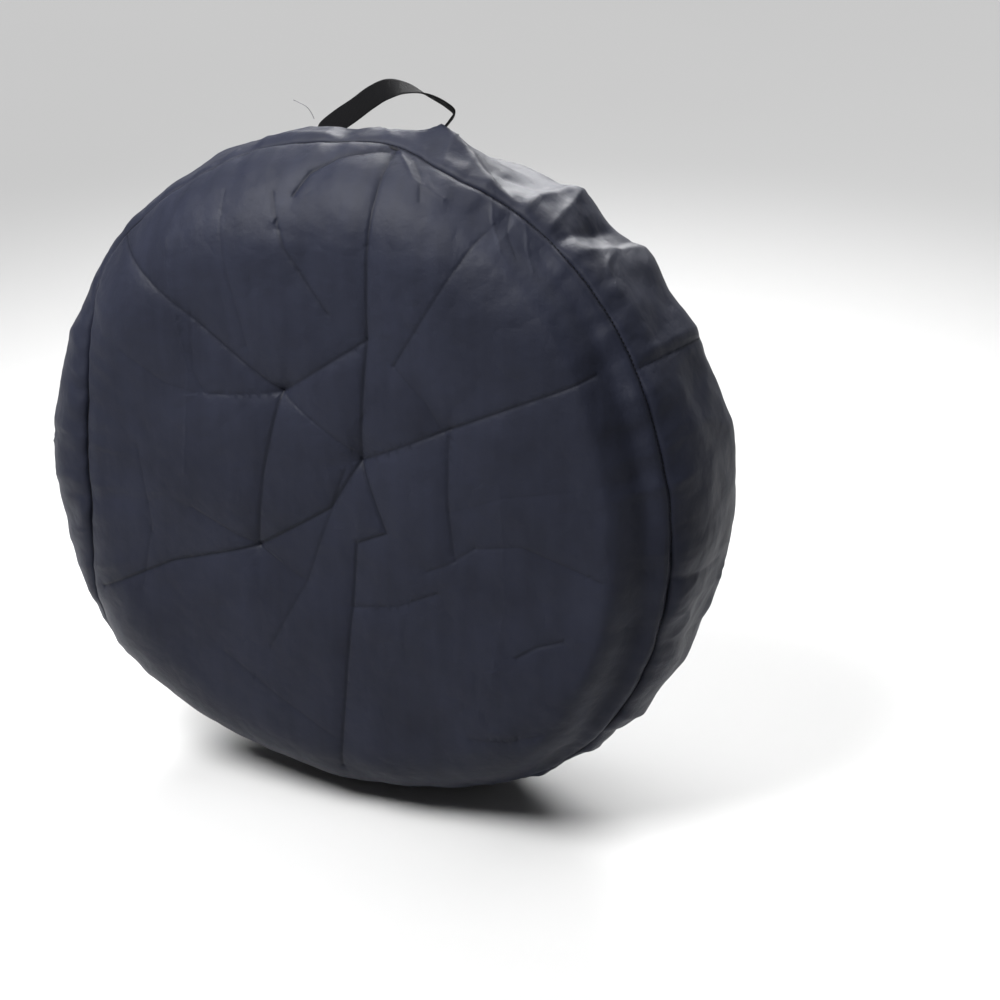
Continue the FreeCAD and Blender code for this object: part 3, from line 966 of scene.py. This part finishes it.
def walk(points, pitch):
    """Even places along a line of points, with the direction at each."""
    along = distance_along(points)
    at = np.arange(pitch / 2, along[-1], pitch)
    ahead = points_at(at + pitch / 3, along, points)
    behind = points_at(at - pitch / 3, along, points)
    return points_at(at, along, points), ahead - behind


def cloth_line(angles, runs, raise_by):
    """A line on the wall's dressed cloth, raised off it, with the outward direction at each point."""
    lift = wall_lift(angles, runs)
    under = on_cloth(angles, runs, lift)
    over = on_cloth(angles, runs, lift + 0.004)
    outward = over - under
    outward = outward / np.maximum(np.linalg.norm(outward, axis=1, keepdims=True), 1e-9)
    return under + outward * raise_by, outward


def sew_along(name, angles, runs, raise_by, pitch, every=4):
    """Stitches along a line on the wall's cloth, each turned as the nearest of every few points is."""
    line, outward = cloth_line(angles, runs, raise_by)
    places, forward = walk(line, pitch)
    near = np.argmin(((places[:, None, :] - line[None, ::every, :]) ** 2).sum(-1), axis=1)
    return stitch_row(name, places, forward, outward[::every][near])


def make_front_seam(settings):
    """Stitches that show in the dip between panel and wall."""
    angles = np.linspace(0, 360, 1441)
    runs = seam_run(angles)
    piece = sew_along("front_seam_stitches", angles, runs, raise_by=0.0004, pitch=settings.stitch_pitch)
    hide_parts("front_seam_thread")


def closing_seam_angle(runs):
    """Angle of the closing seam at each run."""
    return CLOSING_ANGLE - CLOSING_LEAN * (runs - CLOSING_FOLD) / CLOSING_LENGTH


def make_closing_seam(settings):
    """Stitches down the fold where the strip's two ends meet."""
    runs = np.linspace(seam_run(CLOSING_ANGLE)[0] + 0.004, CLOSING_END, 400)
    angles = closing_seam_angle(runs)
    piece = sew_along(
        "wall_seam_stitches", angles, runs, raise_by=0.0003, pitch=settings.stitch_pitch, every=1
    )
    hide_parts("wall_seam_thread")


def make_hem_stitches(settings):
    """Ring of stitches that closes the hem casing."""
    angles = np.linspace(0, 360, 1441)
    runs = np.full_like(angles, HEM_RUN - 0.003)
    piece = sew_along("hem_stitches", angles, runs, raise_by=0.0005, pitch=settings.stitch_pitch)
    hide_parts("hem_thread")


def close_ends(piece):
    """Joins a rolled-up band along its length and closes its two ends."""
    edit_whole(piece)
    bpy.ops.mesh.remove_doubles(threshold=JOIN_GAP)
    bpy.ops.mesh.fill_holes(sides=0)
    leave_edit()


def ribbon(name, centres, across, thickness, width, closed=False, rib=0.0, rib_pitch=0.0015):
    """A rounded flat band along centres, rolled up from a flat grid; its UVs run along it in metres."""
    across = unit(across)
    normal = unit(np.cross(unit(np.gradient(centres, axis=0)), across))
    steps = np.linalg.norm(np.diff(centres, axis=0), axis=1)
    along = np.concatenate([[0], np.cumsum(steps), [steps.sum() + steps[-1]]])
    sides = 20
    count = len(centres)
    rounds = count if closed else count - 1
    clear_selection()
    bpy.ops.mesh.primitive_grid_add(x_subdivisions=sides, y_subdivisions=rounds, size=1)
    piece = named(name)
    start = read_points(piece)
    turn = np.rint((start[:, 0] + 0.5) * sides) % sides * 2 * math.pi / sides
    station = np.rint((start[:, 1] + 0.5) * rounds).astype(int)
    at = station % count
    flat = np.sign(np.cos(turn)) * np.abs(np.cos(turn)) ** 0.55 * width / 2
    deep = np.sign(np.sin(turn)) * np.abs(np.sin(turn)) ** 0.45 * thickness / 2
    deep = deep * (1 + rib * np.sin(2 * math.pi * along[at] / rib_pitch))
    write_uv(piece, flat, along[station])
    move_points(piece, centres[at] + flat[:, None] * across[at] + deep[:, None] * normal[at])
    if not closed:
        close_ends(piece)
    face_outward(piece)
    smooth(piece)
    return piece


def make_seam_allowances():
    """Overlocked edges inside: round the front seam, and along the closing seam."""
    angles = np.linspace(0, 360, 1800, endpoint=False)
    runs = seam_run(angles) + 0.002
    lift = wall_lift(angles, runs) - RING_DEPTH
    centres = on_cloth(angles, runs, lift)
    across = on_cloth(angles, runs + 0.004, lift) - centres
    overlock = {"rib": 0.22, "rib_pitch": 0.0042}
    ring = ribbon(
        "front_seam_allowance", centres, across, thickness=0.0024, width=0.011, closed=True, **overlock
    )
    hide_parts("front_seam_overlock")
    runs = np.linspace(seam_run(CLOSING_ANGLE)[0] + 0.016, CLOSING_ALLOWANCE_END, 500)
    angles = closing_seam_angle(runs)
    lift = wall_lift(angles, runs) - STRIP_DEPTH
    centres = on_cloth(angles, runs, lift)
    across = on_cloth(angles + 1, runs, lift) - centres
    strip = ribbon("wall_seam_allowance", centres, across, thickness=0.0018, width=0.020, **overlock)
    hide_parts("wall_seam_overlock")
    for piece in (ring, strip):
        put_finish(piece, "overlock")
        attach(piece, "cover")


def smooth_through(points, count):
    """Even points along a smooth curve through given points."""
    points = np.asarray(points, float)
    gaps = np.linalg.norm(np.diff(points[:, :3], axis=0), axis=1) ** 0.5
    knots = np.concatenate([[0], np.cumsum(gaps)])
    slopes = np.gradient(points, knots, axis=0)
    fine = np.linspace(0, knots[-1], 4000)
    i = np.clip(np.searchsorted(knots, fine, side="right") - 1, 0, len(knots) - 2)
    gap = (knots[i + 1] - knots[i])[:, None]
    curve = curve_between((fine[:, None] - knots[i][:, None]) / gap, gap, points, slopes, i)
    along = distance_along(curve[:, :3])
    return points_at(np.linspace(0, along[-1], count), along, curve)


def tab_line(side, count):
    """Centre line of a sewn strap end on the wall's cloth, from its root inwards."""
    root = TAB_HIGH.x - 0.005  # the loop leaves the cloth just inside the sewn end
    angle_root = math.degrees(math.acos(root / RADIUS))
    angle_end = math.degrees(math.acos(TAB_LOW.x / RADIUS))
    run = TREAD_MIDDLE + HANDLE_Y - MID_Y
    angles = np.linspace(angle_root, angle_end, count)
    if side < 0:
        angles = 180 - angles
    runs = np.full(count, run)
    lift = wall_lift(angles, runs)
    return on_cloth(angles, runs, lift + TAB_LIFT)


def make_handle(settings):
    """One length of webbing: two sewn ends and the twisted loop between them."""
    rows = [(*p, 0, 1, 0) for p in tab_line(-1, 8)[::-1]]
    for (x, back, up), across in LOOP_STATIONS:
        rows.append((x * MM, MID_Y + back * MM, CREST + up * MM, *across))
    rows += [(*p, 0, 1, 0) for p in tab_line(1, 8)]
    curve = smooth_through(rows, 1300)
    piece = ribbon(
        "handle_webbing", curve[:, :3], curve[:, 3:], thickness=settings.strap_thickness,
        width=settings.strap_width, rib=0.10, rib_pitch=0.0016,
    )
    put_finish(piece, "webbing")
    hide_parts("handle_loop", "handle_tab_left", "handle_tab_right")
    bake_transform(piece)


def make_handle_patches(settings):
    """Lining patches sewn inside the wall, behind the two strap ends."""
    for name in ("handle_patch_left", "handle_patch_right"):
        low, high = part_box(name)
        size = high - low
        clear_selection()
        bpy.ops.mesh.primitive_grid_add(x_subdivisions=40, y_subdivisions=36, size=1)
        piece = named(name + "_cloth")
        start = read_points(piece)
        x = low.x + (start[:, 0] + 0.5) * size.x
        y = low.y + (start[:, 1] + 0.5) * size.y
        angles = np.degrees(np.arccos(x / RADIUS))
        runs = TREAD_MIDDLE + y - MID_Y
        write_uv(piece, x, y)
        move_points(piece, on_cloth(angles, runs, wall_lift(angles, runs) - PATCH_DEPTH))
        give_thickness(piece, settings.cloth_thickness)
        smooth(piece)
        put_finish(piece, "cloth")
        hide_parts(name)
        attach(piece, "cover")


def make_thread_tail(stitches):
    """The uncut tail of the thread that sews the handle's left end, part of those stitches."""
    route = [(-66, 14, 2), (-69, 14, 8), (-73, 13, 13), (-79, 12, 16), (-85, 12, 18)]
    rows = [(x * MM, MID_Y + y * MM, CREST + z * MM, 0, 1, 0) for x, y, z in route]
    curve = smooth_through(rows, 60)
    tail = ribbon("handle_thread_tail", curve[:, :3], curve[:, 3:], thickness=0.0006, width=0.0006)
    put_finish(tail, "loose")
    clear_selection()
    tail.select_set(True)
    stitches.select_set(True)
    bpy.context.view_layer.objects.active = stitches
    bpy.ops.object.join()


def on_strap_end(line, along, across):
    """Points on a sewn strap end, by distance from its root and across its width."""
    share = along / np.linalg.norm(line[-1] - line[0]) * (len(line) - 1)
    i = np.clip(share.astype(int), 0, len(line) - 2)
    part = (share - i)[:, None]
    spot = line[i] * (1 - part) + line[i + 1] * part
    return spot + np.stack([np.zeros_like(across), across, np.full_like(across, BOX_LIFT)], -1)


def make_handle_stitches(settings):
    """Box stitching with a cross on each sewn strap end."""
    for name, side in (("left", -1), ("right", 1)):
        line = tab_line(side, 24)
        reach = settings.strap_width / 2 - TAB_INSET
        near, far = TAB_INSET, np.linalg.norm(line[-1] - line[0]) - TAB_INSET
        corners = [(near, -reach), (far, -reach), (far, reach), (near, reach)]
        lines = list(zip(corners, corners[1:] + corners[:1]))
        lines += [(corners[0], corners[2]), (corners[1], corners[3])]
        spots, ways = [], []
        for a, b in lines:
            share = np.linspace(0, 1, 40)
            track = on_strap_end(line, a[0] + (b[0] - a[0]) * share, a[1] + (b[1] - a[1]) * share)
            at, forward = walk(track, BOX_PITCH)
            spots.append(at)
            ways.append(forward)
        spots, ways = np.concatenate(spots), np.concatenate(ways)
        up = spots - np.array([0, spots[:, 1].mean(), AXLE_Z])
        up[:, 1] = 0
        piece = stitch_row("handle_stitches_" + name, spots, ways, up, length=0.0024)
        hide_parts("handle_thread_" + name)
        if side < 0:
            make_thread_tail(piece)


def finish_frame_parts():
    """Finish for the frame's own elastic, which stays inside the hem."""
    put_finish(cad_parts["hem_elastic"], "elastic")


def add_light(name, kind, direction):
    """A light of a kind that shines along a direction."""
    lamp = bpy.data.objects.new(name, bpy.data.lights.new(name, kind))
    bpy.context.scene.collection.objects.link(lamp)
    lamp.rotation_euler = direction.to_track_quat("-Z", "Y").to_euler()
    return lamp


def add_softbox(name, place, aim, size, power, spread):
    """A round softbox at a place, aimed at a point, whose light keeps within a spread in degrees."""
    lamp = add_light(name, "AREA", Vector(aim) - Vector(place))
    lamp.location = place
    lamp.data.shape = "DISK"
    lamp.data.size = size
    lamp.data.energy = power
    lamp.data.spread = math.radians(spread)


def make_room(settings):
    """Faint even light from all round, with a pale wall in sight beyond the floor."""
    world = bpy.context.scene.world or bpy.data.worlds.new("Studio")
    bpy.context.scene.world = world
    world.use_nodes = True
    tree = world.node_tree
    light = tree.nodes["Background"]
    light.inputs["Color"].default_value = (1, 1, 1, 1)
    light.inputs["Strength"].default_value = settings.room_light
    wall = node(tree, "ShaderNodeBackground", Color=(1, 1, 1, 1), Strength=settings.wall_tone)
    sight = node(tree, "ShaderNodeLightPath")
    blend = node(tree, "ShaderNodeMixShader")
    tree.links.new(sight.outputs["Is Camera Ray"], blend.inputs[0])
    tree.links.new(light.outputs[0], blend.inputs[1])
    tree.links.new(wall.outputs[0], blend.inputs[2])
    tree.links.new(blend.outputs[0], tree.nodes["World Output"].inputs["Surface"])


def make_stage(settings):
    """Floor, room, lights and camera."""
    clear_selection()
    bpy.ops.mesh.primitive_plane_add(size=FLOOR_SIZE)
    floor = named("floor")
    put_finish(floor, "floor")
    make_room(settings)
    ceiling = add_light("Ceiling light", "SUN", Vector((0, -0.45, -1)))
    ceiling.data.energy = settings.ceiling_light
    ceiling.data.angle = math.radians(70)
    add_softbox("Key softbox", (-0.38, -0.78, 1.5), (-0.1, 0, 0.45), 0.9, settings.key_power, 80)
    add_softbox("Back softbox", (-0.45, 2.6, 2.05), (0, 0, 0.5), 1.5, settings.back_power, 75)
    bpy.context.scene.view_settings.view_transform = "Standard"
    make_camera(settings)


def make_camera(settings):
    """Camera in front of the cover, standing to its right and above it."""
    azimuth, elevation = settings.view_azimuth, settings.view_elevation
    back = Vector((
        math.sin(azimuth) * math.cos(elevation),
        -math.cos(azimuth) * math.cos(elevation),
        math.sin(elevation),
    ))
    right = (-back).cross(Vector((0, 0, 1))).normalized()
    up = right.cross(-back)
    middle = Vector((0, MID_Y, AXLE_Z))
    place = middle + back * settings.view_distance
    aim = middle + right * settings.view_right + up * settings.view_up
    data = bpy.data.cameras.new("Camera")
    data.sensor_width = SENSOR_WIDTH
    data.lens = settings.lens
    camera = bpy.data.objects.new("Camera", data)
    bpy.context.scene.collection.objects.link(camera)
    camera.location = place
    camera.rotation_euler = (aim - place).to_track_quat("-Z", "Y").to_euler()
    bpy.context.scene.camera = camera


def length_setting(name, description, default):
    """A length in metres among the settings."""
    return bpy.props.FloatProperty(name=name, description=description, default=default, unit="LENGTH")


def angle_setting(name, description, degrees):
    """An angle among the settings."""
    return bpy.props.FloatProperty(
        name=name, description=description, default=math.radians(degrees), subtype="ANGLE"
    )


def amount_setting(name, description, default, most=1.0):
    """A plain number among the settings, from 0 up to the most it may be."""
    return bpy.props.FloatProperty(name=name, description=description, default=default, min=0, max=most)


def colour_setting(name, description, default):
    """A colour among the settings."""
    return bpy.props.FloatVectorProperty(
        name=name, description=description, default=default, subtype="COLOR", min=0, max=1
    )


class TireCoverSettings(bpy.types.PropertyGroup):
    """Sizes, finishes, lights and view of the tire cover."""

    cloth_thickness: length_setting("Cloth thickness", "Thickness of the coated cloth", 0.0005)
    panel_cut: length_setting("Panel cut", "Diameter that the front panel is cut to", 0.65)
    strip_width: length_setting("Strip width", "Width that the side strip is cut to", 0.37)
    strip_length: length_setting("Strip length", "Length that the side strip is cut to", 2.07)
    casing_width: length_setting("Casing width", "Width of the hem casing across the cloth", 0.017)
    strap_width: length_setting("Strap width", "Width of the handle webbing", 0.025)
    strap_thickness: length_setting("Strap thickness", "Thickness of the handle webbing", 0.0016)
    stitch_pitch: length_setting("Stitch pitch", "From one stitch to the next", 0.004)
    weave_pitch: length_setting("Weave pitch", "From one thread of the cloth to the next", 0.0009)
    cloth_roughness: amount_setting("Cloth roughness", "How dull the coated cloth is", 0.47)
    cloth_shine: amount_setting("Cloth shine", "How much light the coating throws back", 0.11)
    cloth_colour: colour_setting("Cloth colour", "Colour of the cloth", (0.0114, 0.0129, 0.0218))
    webbing_colour: colour_setting("Webbing colour", "Colour of the handle", (0.0022, 0.0022, 0.0028))
    thread_colour: colour_setting("Thread colour", "Colour of the sewing thread", (0.004, 0.004, 0.005))
    overlock_colour: colour_setting("Overlock colour", "Colour of the overlocking", (0.012, 0.012, 0.015))
    floor_tone: amount_setting("Floor tone", "How pale the floor is", 0.57)
    wall_tone: amount_setting("Wall tone", "How pale the far wall is", 0.57)
    room_light: amount_setting("Room light", "Even light from all round", 0.1)
    ceiling_light: amount_setting("Ceiling light", "Strength of the broad light from the ceiling", 3.2, 100)
    key_power: amount_setting("Key power", "Watts of the softbox in front, up and to the left", 12, 1000)
    back_power: amount_setting("Back power", "Watts of the softbox behind the cover", 24, 1000)
    view_azimuth: angle_setting("View azimuth", "How far round to the right the camera stands", 24.7)
    view_elevation: angle_setting("View elevation", "How far above the horizon the camera stands", 23.2)
    view_distance: length_setting("View distance", "From the camera to the wheel's middle", 2.007)
    view_right: length_setting("Aim right", "How far right of the cover the camera looks", 0.109)
    view_up: length_setting("Aim up", "How far above the axle the camera looks", -0.029)
    lens: amount_setting("Lens", "Focal length in millimetres", 76.8, 1000)


class TIRECOVER_OT_front_panel(bpy.types.Operator):
    """Make the round front panel with its packing creases"""

    bl_idname = "tirecover.front_panel"
    bl_label = "Front panel"

    def execute(self, context):
        make_front_panel(context.scene.tire_cover)
        return {"FINISHED"}


class TIRECOVER_OT_side_wall(bpy.types.Operator):
    """Make the side wall strip, gathered over the back"""

    bl_idname = "tirecover.side_wall"
    bl_label = "Side wall"

    def execute(self, context):
        make_side_wall(context.scene.tire_cover)
        return {"FINISHED"}


class TIRECOVER_OT_hem(bpy.types.Operator):
    """Make the puckered hem casing and its ring of stitches"""

    bl_idname = "tirecover.hem"
    bl_label = "Elastic hem"

    def execute(self, context):
        make_hem(context.scene.tire_cover)
        make_hem_stitches(context.scene.tire_cover)
        return {"FINISHED"}


class TIRECOVER_OT_seams(bpy.types.Operator):
    """Make the front seam and the closing seam with their overlocked edges"""

    bl_idname = "tirecover.seams"
    bl_label = "Seams"

    def execute(self, context):
        make_front_seam(context.scene.tire_cover)
        make_closing_seam(context.scene.tire_cover)
        make_seam_allowances()
        return {"FINISHED"}


class TIRECOVER_OT_handle(bpy.types.Operator):
    """Make the webbing handle, its lining patches and its box stitching"""

    bl_idname = "tirecover.handle"
    bl_label = "Carry handle"

    def execute(self, context):
        make_handle(context.scene.tire_cover)
        make_handle_patches(context.scene.tire_cover)
        make_handle_stitches(context.scene.tire_cover)
        return {"FINISHED"}


class TIRECOVER_OT_frame_parts(bpy.types.Operator):
    """Finish the frame's own elastic inside the hem"""

    bl_idname = "tirecover.frame_parts"
    bl_label = "Inner parts"

    def execute(self, context):
        finish_frame_parts()
        return {"FINISHED"}


class TIRECOVER_OT_stage(bpy.types.Operator):
    """Set the floor, the soft lights and the camera"""

    bl_idname = "tirecover.stage"
    bl_label = "Stage"

    def execute(self, context):
        make_stage(context.scene.tire_cover)
        return {"FINISHED"}


class TIRECOVER_PT_sidebar(bpy.types.Panel):
    """Lists the steps that dress the tire cover"""

    bl_idname = "TIRECOVER_PT_sidebar"
    bl_label = "Spare tire cover"
    bl_space_type = "VIEW_3D"
    bl_region_type = "UI"
    bl_category = "Tire cover"

    def draw(self, context):
        for operator in OPERATORS:
            self.layout.operator(operator.bl_idname)
        for name in TireCoverSettings.__annotations__:
            self.layout.prop(context.scene.tire_cover, name)


OPERATORS = (
    TIRECOVER_OT_stage,
    TIRECOVER_OT_front_panel,
    TIRECOVER_OT_side_wall,
    TIRECOVER_OT_hem,
    TIRECOVER_OT_seams,
    TIRECOVER_OT_handle,
    TIRECOVER_OT_frame_parts,
)


CLASSES = (TireCoverSettings, *OPERATORS, TIRECOVER_PT_sidebar)


def register():
    """Adds the settings, the operators and the panel."""
    for made in CLASSES:
        bpy.utils.register_class(made)
    bpy.types.Scene.tire_cover = bpy.props.PointerProperty(type=TireCoverSettings)


def unregister():
    """Takes them away again."""
    del bpy.types.Scene.tire_cover
    for made in reversed(CLASSES):
        bpy.utils.unregister_class(made)


def main():
    """Dresses the frame step by step."""
    register()
    bpy.ops.tirecover.stage()
    bpy.ops.tirecover.front_panel()
    bpy.ops.tirecover.side_wall()
    bpy.ops.tirecover.hem()
    bpy.ops.tirecover.seams()
    bpy.ops.tirecover.handle()
    bpy.ops.tirecover.frame_parts()


if __name__ == "__main__":
    main()
